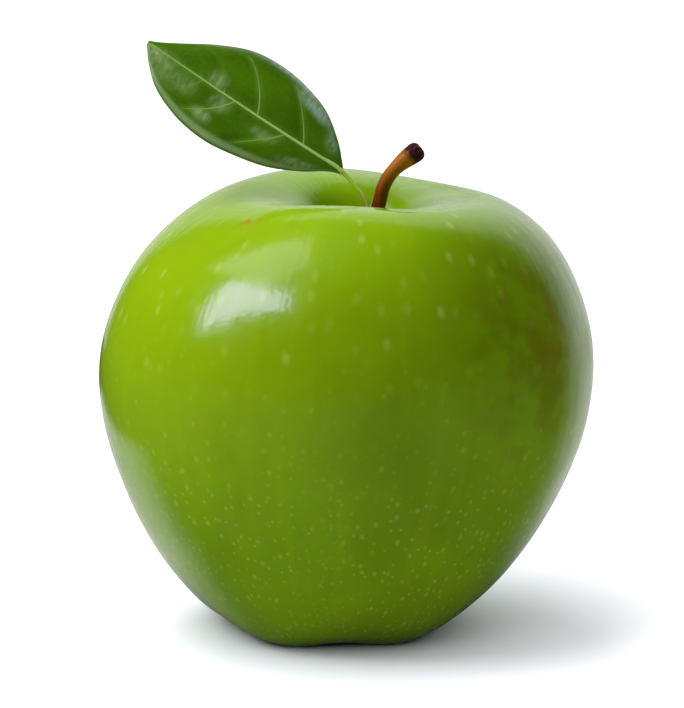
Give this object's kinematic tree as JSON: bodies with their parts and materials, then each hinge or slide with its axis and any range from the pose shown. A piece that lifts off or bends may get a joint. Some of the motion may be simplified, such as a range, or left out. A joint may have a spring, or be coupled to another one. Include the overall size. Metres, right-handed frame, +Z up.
{
  "type": "green apple",
  "caption": "Ripe green apple with a deep stem cavity, a short woody stem, a single stalked leaf and a dried calyx underneath.",
  "frame": {"origin": "on the floor under the middle of the object's box, which is the fruit's own box in X and Y", "axes": "+Z up from the rest feet to the stem and the leaf, +X to the viewer's right where the stem leans, +Y away from the viewer, with the leaf to -X"},
  "size_m": [0.0778, 0.0758, 0.093],
  "materials": {
    "skin": "smooth waxy green skin, paler at the shoulder, with fine light dots",
    "bark": "satin brown bark, dark and torn at the end",
    "leaf": "satin green blade with pale veins, paler underneath",
    "dried_calyx": "matte dry brown"
  },
  "bodies": {
    "root": {"fruit": "skin", "stem": "bark", "leaf": "leaf", "calyx": "dried_calyx"}
  },
  "joints": []
}
